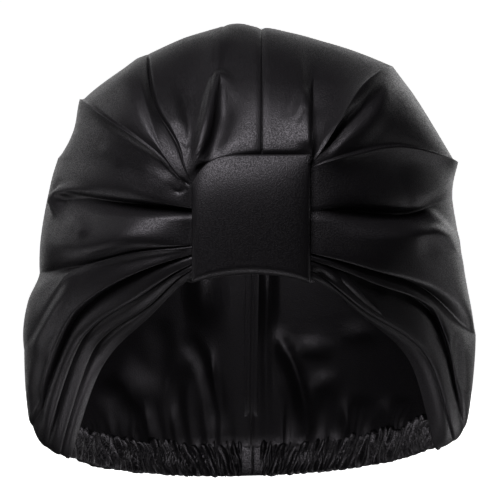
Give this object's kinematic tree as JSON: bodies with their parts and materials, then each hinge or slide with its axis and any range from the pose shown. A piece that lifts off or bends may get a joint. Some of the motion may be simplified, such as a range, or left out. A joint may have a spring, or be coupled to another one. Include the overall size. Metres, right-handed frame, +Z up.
{
  "type": "satin hair bonnet",
  "caption": "Black satin turban-style hair bonnet with a pleated crown, a wrapped knot at the forehead and a ruched elastic nape casing.",
  "frame": {"origin": "inside of the crown's top, on the middle of the head, where the bonnet sits on a head", "axes": "+Z up, -Y out of the face with the knot in front, +X to the knot's right as a viewer in front sees it"},
  "size_m": [0.2197, 0.2289, 0.2278],
  "materials": {
    "black_satin": "smooth satin with a soft sheen",
    "ruched_satin": "satin gathered over elastic"
  },
  "bodies": {
    "root": {"crown_panel_left": "black_satin", "crown_panel_right": "black_satin", "knot_band": "black_satin", "nape_casing": "ruched_satin", "centre_seam": "black_satin"}
  },
  "joints": []
}
